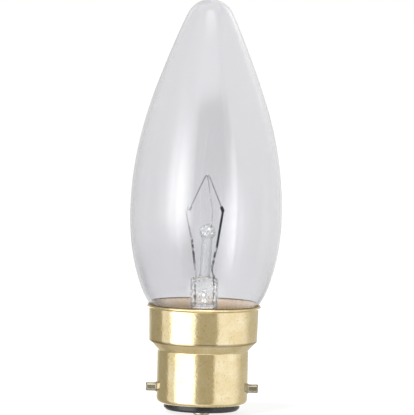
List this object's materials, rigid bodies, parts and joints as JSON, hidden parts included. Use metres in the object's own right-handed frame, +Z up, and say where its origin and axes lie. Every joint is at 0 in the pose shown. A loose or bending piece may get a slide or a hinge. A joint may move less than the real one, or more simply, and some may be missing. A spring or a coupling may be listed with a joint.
{
  "type": "candle bulb",
  "caption": "Clear candle-shaped incandescent lamp with a coiled filament on a glass mount and a brass two-pin bayonet cap.",
  "frame": {"origin": "centre of the plane through the two flat contacts, at the lamp's lowest point and on its axis", "axes": "+Z up the lamp's axis to the tip of the glass, +X out along the right bayonet pin, the contacts on Y"},
  "size_m": [0.0362, 0.0362, 0.0993],
  "materials": {
    "clear_glass": "clear blown soda-lime glass, fire polished, outside and inside smooth",
    "stem_glass": "clear drawn and pinched glass with bubbles and ripples in the press",
    "tungsten": "dull grey coiled tungsten wire",
    "nickel_iron_wire": "nickel-plated iron wire, satin",
    "seal_wire": "copper-sheathed alloy wire, borated, dark red where the glass wets it",
    "copper_wire": "bare copper wire",
    "cement": "baked capping cement, matt tan",
    "cap_brass": "drawn sheet brass, bright and lightly lacquered",
    "black_glass": "opaque black pressed glass, glossy",
    "solder": "tin solder, flattened and dull bright"
  },
  "bodies": {
    "root": {"glass_bulb": "clear_glass", "stem_flare": "stem_glass", "exhaust_tube": "stem_glass", "glass_rod": "stem_glass", "filament": "tungsten", "filament_support": "nickel_iron_wire", "inner_lead_left": "nickel_iron_wire", "inner_lead_right": "nickel_iron_wire", "seal_wire_left": "seal_wire", "seal_wire_right": "seal_wire", "outer_lead_left": "copper_wire", "outer_lead_right": "copper_wire", "cement_ring": "cement", "cap_shell": "cap_brass", "bayonet_pin_left": "cap_brass", "bayonet_pin_right": "cap_brass", "contact_plate_front": "cap_brass", "contact_plate_back": "cap_brass", "cap_insulator": "black_glass", "contact_solder_front": "solder", "contact_solder_back": "solder"}
  },
  "joints": []
}
